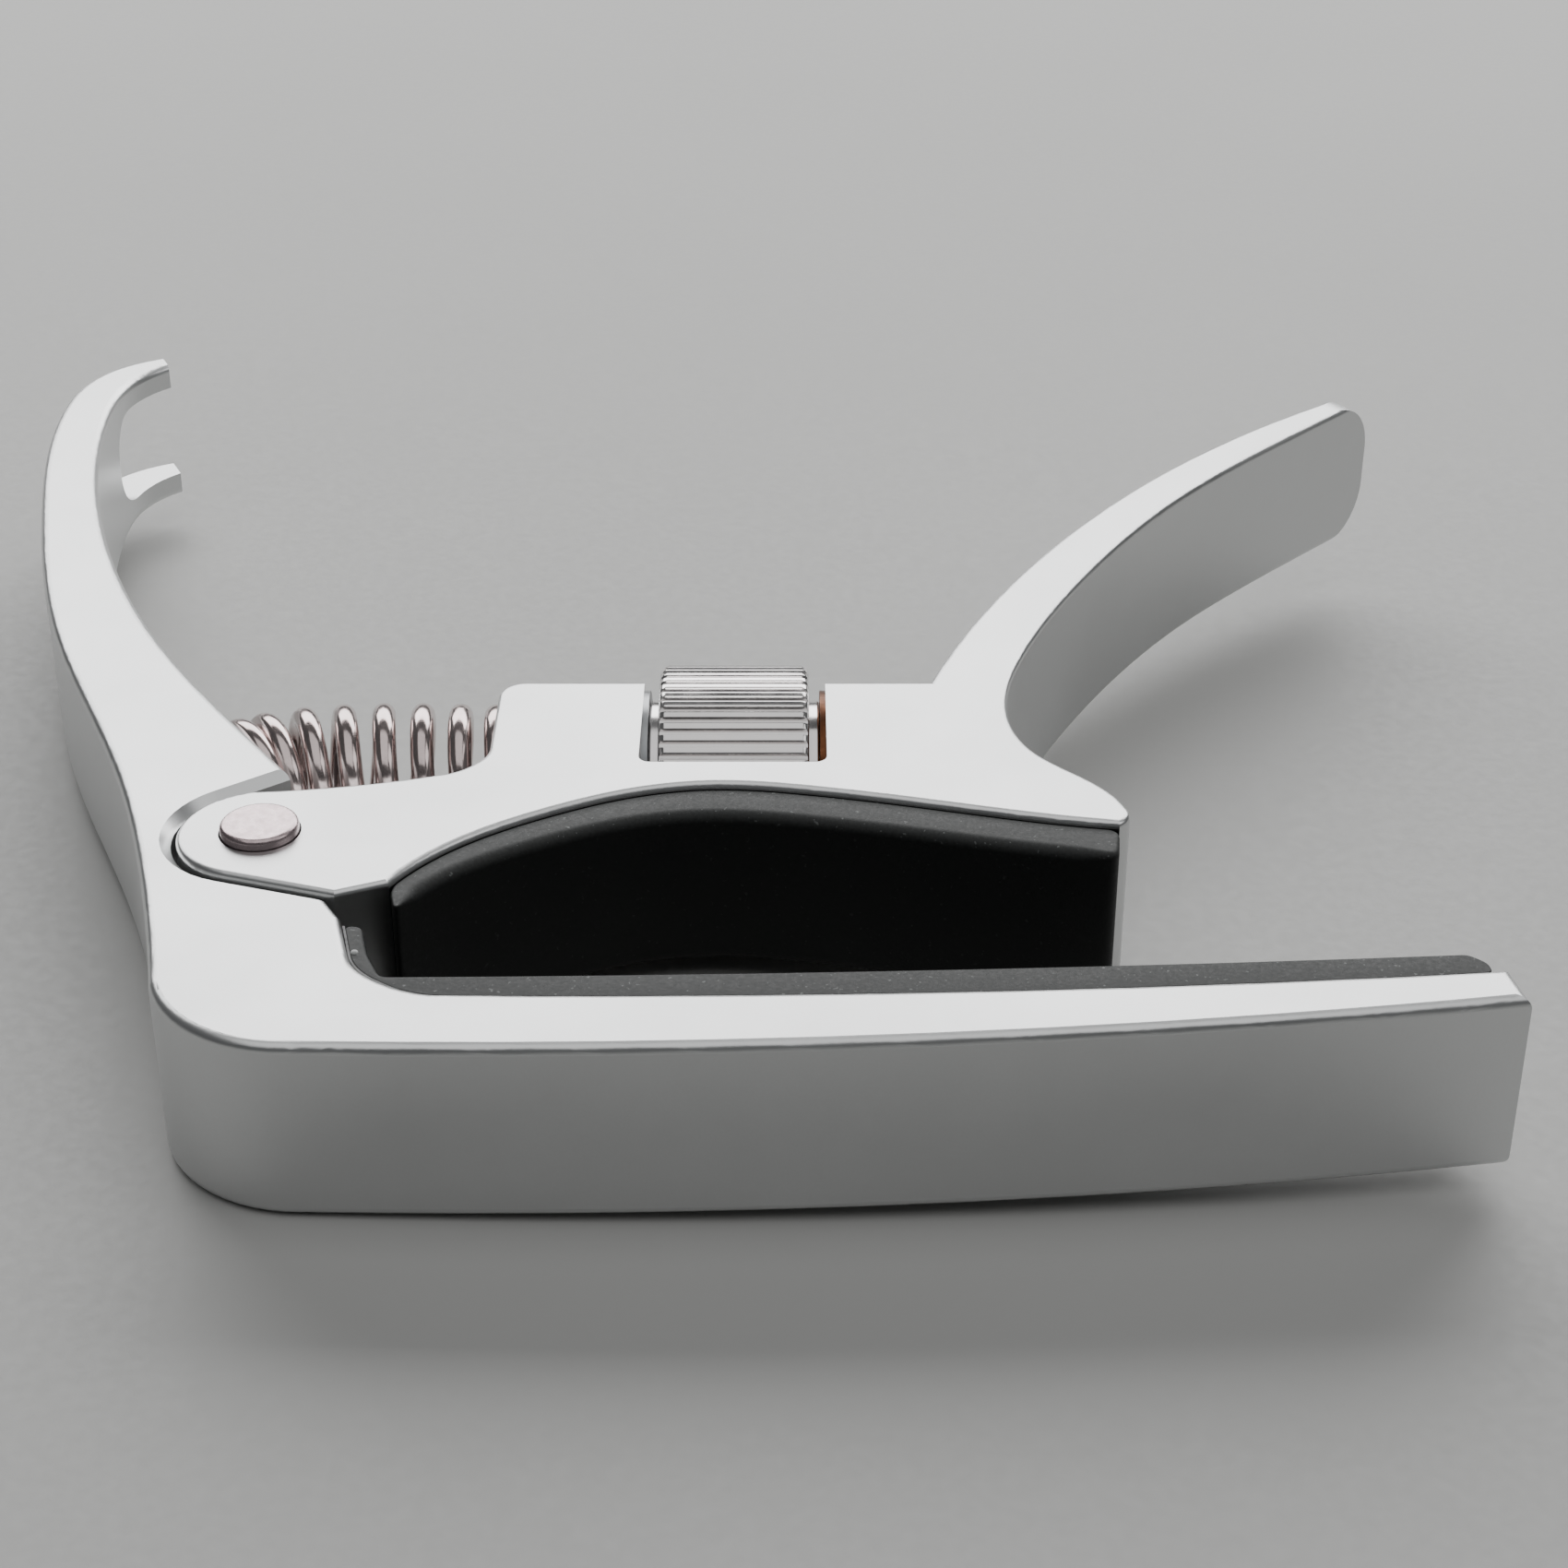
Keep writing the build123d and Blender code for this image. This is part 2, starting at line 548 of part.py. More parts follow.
NODES = {
    "bar_arm": bar_arm,
    "jaw_arm": jaw_arm,
    "string_pad": string_pad,
    "string_pad_adhesive": string_pad_glue,
    "neck_pad": neck_pad,
    "neck_pad_adhesive": neck_pad_glue,
    "pivot_pin": pivot_pin,
    "upper_thrust_washer": lambda: thrust_washer(1),
    "lower_thrust_washer": lambda: thrust_washer(-1),
    "tension_knob": tension_knob,
    "knob_insert": knob_insert,
    "knob_washer_left": lambda: knob_washer(WINDOW_X),
    "knob_washer_right": lambda: knob_washer(WINDOW_END - KNOB_WASHER_T),
    "tension_screw": tension_screw,
    "screw_key_pin": screw_key_pin,
    "spring_seat": spring_seat,
    "spring_peg": spring_peg,
    "tension_spring": tension_spring,
}


def main():
    os.makedirs("parts", exist_ok=True)
    solids = {name: make() for name, make in NODES.items()}
    whole = Compound(children=[Compound(label=name, children=list(s.solids())) for name, s in solids.items()])
    box = whole.bounding_box()
    home = Pos(-(box.min.X + box.max.X) / 2, -(box.min.Y + box.max.Y) / 2, -box.min.Z)
    print("pin axis at", tuple(round(v, 4) for v in tuple(home.position)), "box", box.size)
    for name, solid in solids.items():
        export_step(home * solid, f"parts/{name}.step")


main()
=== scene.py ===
"""Trigger capo for a guitar: pads, coil spring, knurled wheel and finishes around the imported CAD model.

Every piece is worked out in metres in the frame of the CAD model, and its object sits at the origin.
"""

import math

import bmesh
import bpy
import numpy as np
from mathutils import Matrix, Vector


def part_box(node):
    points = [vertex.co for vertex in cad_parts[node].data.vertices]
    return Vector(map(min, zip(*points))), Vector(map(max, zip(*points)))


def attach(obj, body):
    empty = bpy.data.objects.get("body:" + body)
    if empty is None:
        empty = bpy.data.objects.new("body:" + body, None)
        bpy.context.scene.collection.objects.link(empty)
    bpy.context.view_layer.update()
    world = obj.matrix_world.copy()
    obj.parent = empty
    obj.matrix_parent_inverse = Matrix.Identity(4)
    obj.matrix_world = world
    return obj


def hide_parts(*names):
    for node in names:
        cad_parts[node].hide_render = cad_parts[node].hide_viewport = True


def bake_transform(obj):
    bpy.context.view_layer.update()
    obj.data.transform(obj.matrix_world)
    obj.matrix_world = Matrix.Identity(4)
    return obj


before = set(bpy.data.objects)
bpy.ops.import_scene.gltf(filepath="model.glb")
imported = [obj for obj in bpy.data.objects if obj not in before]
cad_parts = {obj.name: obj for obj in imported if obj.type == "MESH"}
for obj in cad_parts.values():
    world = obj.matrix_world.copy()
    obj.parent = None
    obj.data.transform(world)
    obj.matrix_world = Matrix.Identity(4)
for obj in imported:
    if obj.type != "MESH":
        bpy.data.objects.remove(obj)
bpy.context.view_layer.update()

bl_info = {
    "name": "Trigger capo",
    "version": (1, 0, 0),
    "blender": (4, 5, 0),
    "location": "3D View > Sidebar > Capo",
    "description": "Rubber pads, coil spring, knurled wheel and finishes of a trigger capo",
    "category": "Add Mesh",
}

MM = 0.001


def middle(node):
    """Middle of a CAD node's box."""
    low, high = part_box(node)
    return np.array((low + high) / 2)


PIN = middle("pivot_pin")            # the hinge axis crosses the arms' mid plane here
WHEEL = middle("tension_knob")       # middle of the knurled wheel, on the screw's axis
SEAT_FLANGE = 0.9 * MM               # thickness of the flange that the spring's right end rests on
SEAT_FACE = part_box("spring_seat")[1].x - SEAT_FLANGE


def linear(hex_colour):
    """Colour of a finish, from its sRGB hex value to the linear values that the shader takes."""
    part = np.array([int(hex_colour[i:i + 2], 16) for i in (1, 3, 5)]) / 255
    part = np.where(part <= 0.04045, part / 12.92, ((part + 0.055) / 1.055) ** 2.4)
    return (*part.tolist(), 1.0)


# ---- values that a user would change ----
def length(name, description, millimetres):
    default = millimetres * MM
    return bpy.props.FloatProperty(name=name, description=description, default=default, unit="LENGTH")


def colour(name, description, hex_colour):
    return bpy.props.FloatVectorProperty(
        name=name, description=description, default=linear(hex_colour), size=4, subtype="COLOR", min=0, max=1
    )


class CapoSizes(bpy.types.PropertyGroup):
    """Sizes of the pieces that are made here."""

    string_pad_rounding: length("String pad rounding", "Rounding of the string pad's rims", 0.35)
    neck_pad_rounding: length("Neck pad rounding", "Rounding of the neck pad's rims", 0.85)
    string_pad_softness: length("String pad softness", "How far its corners are rounded in plan", 0.35)
    neck_pad_softness: length("Neck pad softness", "How far its corners are rounded in plan", 0.9)
    coil_diameter: length("Coil diameter", "Mean diameter of the spring's coils", 8.5)
    wire_diameter: length("Wire diameter", "Diameter of the spring's wire", 1.6)
    spring_clearance: length("Spring clearance", "Gap between the end coils and their seats", 0.2)
    spring_bow: length("Spring bow", "How far the spring keeps the direction of each seat", 5.5)
    spring_turns: bpy.props.FloatProperty(name="Turns", description="Turns of the spring's wire", default=8.0)
    spring_phase: bpy.props.FloatProperty(
        name="Phase", description="Share of a turn where the wire starts", default=0.12
    )
    spring_end_turns: bpy.props.FloatProperty(
        name="End turns", description="Turns at each end that lie flat", default=0.75
    )
    spring_end_share: bpy.props.FloatProperty(
        name="End share", description="Share of the centre line that those turns take", default=0.055
    )
    seat_turns: bpy.props.FloatProperty(
        name="Seat turns", description="Turns at the seat's end that the screw presses together", default=1.9
    )
    knurl_depth: length("Knurl depth", "Depth of the wheel's straight knurl", 0.34)
    knurl_teeth: bpy.props.IntProperty(name="Knurl teeth", description="Teeth round the wheel", default=54)
    bead_height: length("Glue bead", "Height of the bead of glue on the string pad's upstand", 0.16)


class CapoColours(bpy.types.PropertyGroup):
    """Colours of the finishes."""

    plating: colour("Plating", "Pearl plating of the two castings", "#DBDCDC")
    rubber: colour("Rubber", "Silicone rubber of the pads", "#0D0F0E")
    # also the colour of the painted sheen on the rubber's upward faces
    dust: colour("Dust", "Fine dust on the rubber", "#7A7D7C")
    nickel: colour("Nickel", "Bright nickel of the spring", "#D6C7C5")
    pin: colour("Pin", "Nickel of the rivet pin", "#C4B3B5")
    chrome: colour("Chrome", "Chrome of the knurled wheel", "#E9E6E5")
    brass: colour("Brass", "Brass of the core and the washer", "#734A33")
    steel: colour("Steel", "Zinc-plated steel of the small parts", "#A9ABAD")
    glue: colour("Glue", "Cured contact glue", "#1B1C1C")
    bead: colour("Bead", "Drop of clear glue on the upstand", "#B9BBBA")
    floor: colour("Floor", "Matt laminate of the floor", "#B9B9B7")


# ---- meshes ----
def quads(rows, columns, wrap_rows):
    """Corner numbers of the faces between neighbouring rows of a grid whose columns run round a section."""
    row = np.arange(rows if wrap_rows else rows - 1)
    column = np.arange(columns)
    row, column = np.meshgrid(row, column, indexing="ij")
    below, beside = (row + 1) % rows, (column + 1) % columns
    above, under = row * columns, below * columns
    corners = [above + column, above + beside, under + beside, under + column]
    return np.stack(corners, axis=-1).reshape(-1, 4).tolist()


def new_piece(context, name, grid, material, wrap_rows=False, sharp=40):
    """Closed mesh of a grid of points; the first and last rows are closed by one flat face each."""
    rows, columns = grid.shape[:2]
    faces = quads(rows, columns, wrap_rows)
    caps = [] if wrap_rows else [list(range(columns)), list(range((rows - 1) * columns, rows * columns))]
    mesh = bpy.data.meshes.new(name)
    mesh.from_pydata(grid.reshape(-1, 3).tolist(), [], faces + caps)
    shell = bmesh.new()
    shell.from_mesh(mesh)
    bmesh.ops.recalc_face_normals(shell, faces=shell.faces)
    shell.to_mesh(mesh)
    shell.free()
    mesh.polygons.foreach_set("use_smooth", [True] * len(faces) + [False] * len(caps))
    mesh.set_sharp_from_angle(angle=math.radians(sharp))
    mesh.materials.append(material)
    piece = bpy.data.objects.new(name, mesh)
    context.scene.collection.objects.link(piece)
    return piece


def plan_outline(node, spacing):
    """Outline of a slab-shaped node from above, as points at an even spacing.

    The rim's edges are those that one triangle of the upper face has alone. Each point's number of steps
    to the last one is found by doubling the stride, which puts the edges end to end.
    """
    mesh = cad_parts[node].data
    place = np.empty(len(mesh.vertices) * 3)
    mesh.vertices.foreach_get("co", place)
    place = place.reshape(-1, 3)
    corner = np.empty(len(mesh.loops), int)
    mesh.loops.foreach_get("vertex_index", corner)
    triangles = corner.reshape(-1, 3)
    upper = place[triangles][:, :, 2].min(1) > place[:, 2].max() - 0.01 * MM
    points, number = np.unique(np.round(place[:, :2], 7), axis=0, return_inverse=True)
    triangles = number.reshape(-1)[triangles[upper]]
    edges = np.concatenate([triangles[:, [0, 1]], triangles[:, [1, 2]], triangles[:, [2, 0]]])
    count = len(points)
    rim = edges[~np.isin(edges[:, 0] * count + edges[:, 1], edges[:, 1] * count + edges[:, 0])]
    follow = np.arange(count)
    follow[rim[:, 0]] = rim[:, 1]
    last = rim[0, 0]
    follow[last] = last
    steps = (follow != np.arange(count)).astype(int)
    while np.any(follow[rim[:, 0]] != last):
        steps = steps + steps[follow]
        follow = follow[follow]
    loop = points[rim[np.argsort(-steps[rim[:, 0]]), 0]]
    return even_loop(loop, spacing)


def even_loop(loop, spacing):
    """Closed line divided again into equal steps of about the given spacing."""
    closed = np.vstack([loop, loop[:1]])
    run = np.concatenate([[0], np.cumsum(np.linalg.norm(np.diff(closed, axis=0), axis=1))])
    at = np.arange(0, run[-1], run[-1] / round(run[-1] / spacing))[:round(run[-1] / spacing)]
    return np.stack([np.interp(at, run, closed[:, k]) for k in (0, 1)], axis=1)


def softened(loop, spacing, reach):
    """Closed line whose points are the mean of their neighbours within the reach: its corners go round."""
    half = max(1, round(reach / spacing))
    return sum(np.roll(loop, k, axis=0) for k in range(-half, half + 1)) / (2 * half + 1)


def rounded_slab(loop, low, high, rounding, glued, steps=9):
    """Slab with a rounded rim above and below.

    Row by row, the outline is moved in along its normal by r(1 - cos a) while the height comes to
    r(1 - sin a) from the face, a quarter turn above and a quarter turn below. Where the normal points the
    way of the glued side, r falls to a quarter, and it stays under 0.7 of the outline's own radius, so that
    no row crosses itself.
    """
    along = np.roll(loop, -1, axis=0) - np.roll(loop, 1, axis=0)
    along /= np.linalg.norm(along, axis=1)[:, None]
    turn = np.sum(loop[:, 0] * np.roll(loop[:, 1], -1) - loop[:, 1] * np.roll(loop[:, 0], -1))
    outward = np.stack([along[:, 1], -along[:, 0]], axis=1) * np.sign(turn)
    share = np.clip(0.55 - outward @ np.array(glued), 0.25, 1.0)
    bend = np.linalg.norm(np.roll(along, -1, axis=0) - np.roll(along, 1, axis=0), axis=1)
    step = np.linalg.norm(np.roll(loop, -1, axis=0) - np.roll(loop, 1, axis=0), axis=1)
    reach = np.minimum(rounding * share, 0.7 * step / np.maximum(bend, 1e-6))
    reach = np.min([np.roll(reach, k) for k in range(-5, 6)], axis=0)
    reach = softened(reach[:, None], 1, 5)[:, 0]
    angle = np.linspace(math.pi / 2, 0, steps)
    inset = reach * (1 - np.cos(angle))[:, None]
    depth = reach * (1 - np.sin(angle))[:, None]
    inset = np.concatenate([inset, inset[::-1]])
    height = np.concatenate([high - depth, low + depth[::-1]])
    plan = loop[None] - inset[:, :, None] * outward[None]
    return np.dstack([plan, height])


def tube(path, side, radius, around=20):
    """Round wire carried along a path; side is a direction at each point that keeps it from twisting."""
    along = np.gradient(path, axis=0)
    along /= np.linalg.norm(along, axis=1)[:, None]
    side = side - np.sum(side * along, axis=1)[:, None] * along
    side /= np.linalg.norm(side, axis=1)[:, None]
    other = np.cross(along, side)
    angle = np.arange(around) * 2 * math.pi / around
    ring = side[:, None] * np.cos(angle)[None, :, None] + other[:, None] * np.sin(angle)[None, :, None]
    return path[:, None] + radius * ring


def turned(profile, centre, axis, around=96):
    """Turned piece: each (place, radius) of the profile becomes a ring about the centre line."""
    place, radius = np.array(profile).T
    angle = np.arange(around) * 2 * math.pi / around
    ring = np.stack([np.zeros(around), np.cos(angle), np.sin(angle)], axis=1)
    ring = np.roll(ring, "xyz".index(axis), axis=1)
    line = np.roll([1.0, 0.0, 0.0], "xyz".index(axis))
    return centre + place[:, None, None] * line + radius[:, None, None] * ring[None]


# ---- node trees of the finishes ----
def add(tree, kind, inputs=None, **settings):
    """Adds a node; inputs are values or the sockets that feed it, and settings are its own properties."""
    node = tree.nodes.new(kind)
    for key, value in settings.items():
        setattr(node, key, value)
    for key, value in (inputs or {}).items():
        if isinstance(value, bpy.types.NodeSocket):
            tree.links.new(value, node.inputs[key])
        else:
            node.inputs[key].default_value = value
    return node


def new_finish(name):
    """Empty material and its node tree, with the object's own coordinates ready."""
    finish = bpy.data.materials.new(name)
    finish.use_nodes = True
    tree = finish.node_tree
    tree.nodes.clear()
    return finish, tree, add(tree, "ShaderNodeTexCoord")


def surface(tree, **inputs):
    """The shader and the output, fed by what the finish has worked out."""
    named = {key.replace("_", " "): value for key, value in inputs.items()}
    shader = add(tree, "ShaderNodeBsdfPrincipled", named)
    add(tree, "ShaderNodeOutputMaterial", {"Surface": shader.outputs[0]})


def noise(tree, where, size, detail=3.0, roughness=0.5):
    """Cloudy pattern whose patches are about the given size, in metres."""
    settings = {"Vector": where, "Scale": 1 / size, "Detail": detail, "Roughness": roughness}
    return add(tree, "ShaderNodeTexNoise", settings).outputs["Fac"]


def stretched(tree, where, scale, rotation=(0, 0, 0)):
    """Coordinates scaled by different amounts along the three axes, for marks that run one way."""
    return add(tree, "ShaderNodeMapping", {"Vector": where, "Scale": scale, "Rotation": rotation}).outputs[0]


def between(tree, value, low, high, to_low, to_high):
    """Maps a value from one range to another, held at both ends."""
    inputs = {"Value": value, "From Min": low, "From Max": high, "To Min": to_low, "To Max": to_high}
    return add(tree, "ShaderNodeMapRange", inputs, clamp=True).outputs[0]


def mixed(tree, share, first, second):
    """Colour that goes from the first to the second as the share goes from 0 to 1."""
    node = add(tree, "ShaderNodeMix", {"Factor": share}, data_type="RGBA")
    for socket, value in ((node.inputs[6], first), (node.inputs[7], second)):
        if isinstance(value, bpy.types.NodeSocket):
            tree.links.new(value, socket)
        else:
            socket.default_value = value
    return node.outputs[2]


def maths(tree, operation, first, second):
    """One sum on two values or sockets."""
    return add(tree, "ShaderNodeMath", {0: first, 1: second}, operation=operation).outputs[0]


def bump(tree, height, depth, strength=1.0, over=None):
    """Relief of the given depth, in metres, laid over another relief if there is one."""
    inputs = {"Height": height, "Distance": depth, "Strength": strength}
    if over is not None:
        inputs["Normal"] = over
    return add(tree, "ShaderNodeBump", inputs).outputs[0]


def darker(colour_value, share):
    """Colour scaled by a share, which may be over 1."""
    return (*(np.array(colour_value[:3]) * share).tolist(), 1.0)


def pearl_plated_aluminium(colours):
    """Aluminium die-casting, blasted and pearl-plated.

    The eye gets a silky grey that spreads reflections wide, with a fine grain, soft clouds where it was
    handled, thin rub marks and rims that are smoother than the faces; the rims also get a painted
    highlight that makes their colour brighter.
    """
    finish, tree, coordinates = new_finish("pearl_plated_aluminium")
    where = coordinates.outputs["Object"]
    grain = noise(tree, where, 0.16 * MM, 2.0)    # blasting grit of about 0.05 mm, drawn coarser to show
    wavy = noise(tree, where, 6.0 * MM, 2.0)      # slight waviness of the polished casting
    clouds = noise(tree, where, 14.0 * MM, 4.0, 0.6)
    marks = noise(tree, stretched(tree, where, (1.0, 22.0, 22.0), (0, 0, 0.5)), 5.0 * MM, 6.0, 0.7)
    rub = between(tree, marks, 0.62, 0.72, 0.0, 1.0)
    upright = add(tree, "ShaderNodeSeparateXYZ", {"Vector": coordinates.outputs["Normal"]}).outputs[2]
    squared = maths(tree, "MULTIPLY", upright, upright)
    slope = maths(tree, "MULTIPLY", squared, maths(tree, "SUBTRACT", 1.0, squared))
    # rims are the tilted faces of the fillets: they get a smoother roughness and a painted highlight in the
    # colour
    rim = between(tree, slope, 0.03, 0.22, 0.0, 1.0)
    plating = tuple(colours.plating)
    base = mixed(tree, between(tree, clouds, 0.3, 0.7, 0.0, 1.0), darker(plating, 0.93), plating)
    base = mixed(tree, maths(tree, "MULTIPLY", grain, 0.35), base, darker(plating, 0.86))
    # painted highlight: the rims' colour is made brighter
    base = mixed(tree, maths(tree, "MULTIPLY", rim, 0.5), base, darker(plating, 1.06))
    rough = between(tree, clouds, 0.3, 0.7, 0.34, 0.42)
    rough = maths(tree, "SUBTRACT", rough, maths(tree, "MULTIPLY", rim, 0.07))
    rough = maths(tree, "ADD", rough, maths(tree, "MULTIPLY", rub, 0.05))
    relief = bump(tree, wavy, 0.02 * MM, 0.35)
    relief = bump(tree, grain, 0.006 * MM, 0.45, relief)
    surface(tree, Base_Color=base, Metallic=1.0, Roughness=rough, Normal=relief)
    return finish


def moulded_silicone(colours):
    """Black silicone rubber, moulded in a matt tool.

    The eye gets a deep black that turns grey at a flat angle, through a painted sheen that greys the
    upward faces, a fine pebbled skin and specks of dust that it has drawn to itself, mostly on the upward
    faces.
    """
    finish, tree, coordinates = new_finish("moulded_silicone")
    where = coordinates.outputs["Object"]
    pebble = noise(tree, where, 0.22 * MM, 3.0)
    clouds = noise(tree, where, 5.0 * MM, 3.0)
    specks = noise(tree, where, 0.3 * MM, 1.0)
    dust = between(tree, specks, 0.70, 0.76, 0.0, 0.8)
    upright = add(tree, "ShaderNodeSeparateXYZ", {"Vector": coordinates.outputs["Normal"]}).outputs[2]
    # share of each face that looks up: it carries the painted sheen and the dust specks
    upward_sheen_and_dust = between(tree, upright, 0.2, 0.9, 0.12, 1.0)
    rubber = tuple(colours.rubber)
    base = mixed(tree, between(tree, clouds, 0.3, 0.7, 0.0, 1.0), darker(rubber, 0.8), darker(rubber, 1.3))
    # painted sheen: the upward faces are made greyer, towards the dust colour
    painted_sheen = maths(tree, "MULTIPLY", upward_sheen_and_dust, between(tree, pebble, 0.35, 0.65, 0.08, 0.2))
    base = mixed(tree, painted_sheen, base, tuple(colours.dust))
    base = mixed(tree, maths(tree, "MULTIPLY", dust, upward_sheen_and_dust), base, tuple(colours.dust))
    rough = between(tree, pebble, 0.3, 0.7, 0.5, 0.66)
    relief = bump(tree, pebble, 0.02 * MM, 0.6)
    surface(tree, Base_Color=base, Roughness=rough, IOR=1.41, Normal=relief)
    return finish


def glue_skin(name, glue):
    """Skin of a glue: half shiny and lumpy, with the colour going darker and lighter over the lumps."""
    finish, tree, coordinates = new_finish(name)
    lumps = noise(tree, coordinates.outputs["Object"], 0.5 * MM, 3.0)
    base = mixed(tree, lumps, darker(glue, 0.7), darker(glue, 1.4))
    relief = bump(tree, lumps, 0.03 * MM, 0.5)
    rough = between(tree, lumps, 0.3, 0.7, 0.3, 0.45)
    surface(tree, Base_Color=base, Roughness=rough, IOR=1.5, Normal=relief)
    return finish


def cured_glue(colours):
    """Contact glue that has cured between rubber and metal, dark and slightly shiny."""
    return glue_skin("cured_glue", tuple(colours.glue))


def clear_glue(colours):
    """Drop of clear glue that has set milky, which the eye takes as a small bright dot on the rubber."""
    return glue_skin("clear_glue", tuple(colours.bead))


def bright_nickel(colours):
    """Drawn spring wire with bright nickel plating: mirror-like, slightly warm, with fine drawing marks."""
    finish, tree, coordinates = new_finish("bright_nickel_wire")
    where = coordinates.outputs["Object"]
    marks = noise(tree, where, 0.25 * MM, 4.0, 0.6)
    clouds = noise(tree, where, 2.5 * MM, 3.0)
    nickel = tuple(colours.nickel)
    base = mixed(tree, between(tree, clouds, 0.35, 0.65, 0.0, 1.0), darker(nickel, 0.84), nickel)
    rough = between(tree, marks, 0.3, 0.7, 0.12, 0.22)
    surface(tree, Base_Color=base, Metallic=1.0, Roughness=rough, Normal=bump(tree, marks, 0.006 * MM, 0.4))
    return finish


def turned_nickel(colours):
    """Rivet pin in nickel-plated steel: a flat head with faint turning rings and small dents from setting."""
    finish, tree, coordinates = new_finish("turned_nickel_pin")
    where = coordinates.outputs["Object"]
    centred = add(tree, "ShaderNodeMapping", {"Vector": where, "Location": (-PIN[0], -PIN[1], 0)}).outputs[0]
    ring = {"Vector": centred, "Scale": 1 / (2.2 * MM), "Distortion": 0.6, "Detail": 2.0}
    rings = add(tree, "ShaderNodeTexWave", ring, wave_type="RINGS", rings_direction="Z").outputs["Fac"]
    dents = noise(tree, where, 0.6 * MM, 4.0, 0.65)
    pin = tuple(colours.pin)
    base = mixed(tree, between(tree, dents, 0.35, 0.7, 0.0, 1.0), pin, darker(pin, 0.82))
    rough = between(tree, dents, 0.3, 0.7, 0.22, 0.36)
    relief = bump(tree, dents, 0.02 * MM, 0.5, bump(tree, rings, 0.004 * MM, 0.4))
    surface(tree, Base_Color=base, Metallic=1.0, Roughness=rough, Normal=relief)
    return finish


def chromed_knurl(colours):
    """Knurled wheel in chromed brass: bright, with fine lathe marks that draw the light out sideways."""
    finish, tree, coordinates = new_finish("chromed_knurl")
    where = coordinates.outputs["Object"]
    lathe = noise(tree, stretched(tree, where, (12.0, 1.0, 1.0)), 1.5 * MM, 4.0, 0.6)
    smudge = noise(tree, where, 2.0 * MM, 3.0)
    chrome = tuple(colours.chrome)
    base = mixed(tree, between(tree, smudge, 0.3, 0.7, 0.0, 1.0), darker(chrome, 0.93), chrome)
    rough = between(tree, smudge, 0.3, 0.7, 0.13, 0.22)
    surface(tree, Base_Color=base, Metallic=1.0, Roughness=rough, Normal=bump(tree, lathe, 0.008 * MM, 0.5))
    return finish


def turned_brass(colours):
    """Bare turned brass that has darkened a little, with fine rings from the lathe."""
    finish, tree, coordinates = new_finish("turned_brass")
    where = coordinates.outputs["Object"]
    stain = noise(tree, where, 1.2 * MM, 4.0, 0.6)
    brass = tuple(colours.brass)
    base = mixed(tree, between(tree, stain, 0.35, 0.7, 0.0, 1.0), brass, darker(brass, 0.5))
    rough = between(tree, stain, 0.3, 0.7, 0.24, 0.42)
    surface(tree, Base_Color=base, Metallic=1.0, Roughness=rough, Normal=bump(tree, stain, 0.01 * MM, 0.4))
    return finish


def zinc_plated_steel(colours):
    """Small steel parts with a thin zinc coat: grey, half bright, with a cloudy bloom."""
    finish, tree, coordinates = new_finish("zinc_plated_steel")
    where = coordinates.outputs["Object"]
    bloom = noise(tree, where, 0.9 * MM, 4.0, 0.6)
    steel = tuple(colours.steel)
    base = mixed(tree, between(tree, bloom, 0.3, 0.7, 0.0, 1.0), darker(steel, 0.8), steel)
    rough = between(tree, bloom, 0.3, 0.7, 0.26, 0.44)
    surface(tree, Base_Color=base, Metallic=1.0, Roughness=rough, Normal=bump(tree, bloom, 0.01 * MM, 0.4))
    return finish


def matt_laminate(colours):
    """Pale matt laminate: even, with a very fine tooth that keeps reflections blurred."""
    finish, tree, coordinates = new_finish("matt_laminate")
    where = coordinates.outputs["Object"]
    tooth = noise(tree, where, 0.8 * MM, 3.0)
    clouds = noise(tree, where, 90.0 * MM, 3.0)
    floor = tuple(colours.floor)
    base = mixed(tree, between(tree, clouds, 0.3, 0.7, 0.0, 1.0), darker(floor, 0.96), floor)
    rough = between(tree, tooth, 0.3, 0.7, 0.5, 0.6)
    surface(tree, Base_Color=base, Roughness=rough, Normal=bump(tree, tooth, 0.02 * MM, 0.3))
    return finish


def finish_of(context, make):
    """The material that a function makes, made once."""
    made = context.scene.capo_finishes
    if make.__name__ not in made:
        finish = make(context.scene.capo_colours)
        entry = made.add()
        entry.name = make.__name__
        entry.finish = finish
    return made[make.__name__].finish


def coat(context, make, *nodes):
    """Gives CAD nodes a finish in place of the plain one that they were packed with."""
    for name in nodes:
        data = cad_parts[name].data
        data.materials.clear()
        data.materials.append(finish_of(context, make))


class CapoFinish(bpy.types.PropertyGroup):
    """One finish that has been made, by the name of its function."""

    finish: bpy.props.PointerProperty(
        name="Finish", description="Material of this finish", type=bpy.types.Material
    )


# ---- operators ----
class CAPO_OT_castings(bpy.types.Operator):
    """Give the two arms their plating"""

    bl_idname = "capo.castings"
    bl_label = "Castings"

    def execute(self, context):
        coat(context, pearl_plated_aluminium, "bar_arm", "jaw_arm")
        return {"FINISHED"}


class CAPO_OT_pads(bpy.types.Operator):
    """Mould the string pad and the neck pad in rubber"""

    bl_idname = "capo.pads"
    bl_label = "Rubber pads"

    def execute(self, context):
        sizes = context.scene.capo_sizes
        spacing = 0.2 * MM
        rubber = finish_of(context, moulded_silicone)
        string = "bar", (-0.5, -0.85), sizes.string_pad_softness, sizes.string_pad_rounding
        neck = "jaw", (0.0, 1.0), sizes.neck_pad_softness, sizes.neck_pad_rounding
        for node, (body, glued, softness, rounding) in (("string_pad", string), ("neck_pad", neck)):
            name = node + "_rubber"
            low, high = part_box(node)
            loop = softened(plan_outline(node, spacing), spacing, softness)
            pad = new_piece(context, name, rounded_slab(loop, low.z, high.z, rounding, glued), rubber)
            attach(pad, body)
            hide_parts(node)
        return {"FINISHED"}


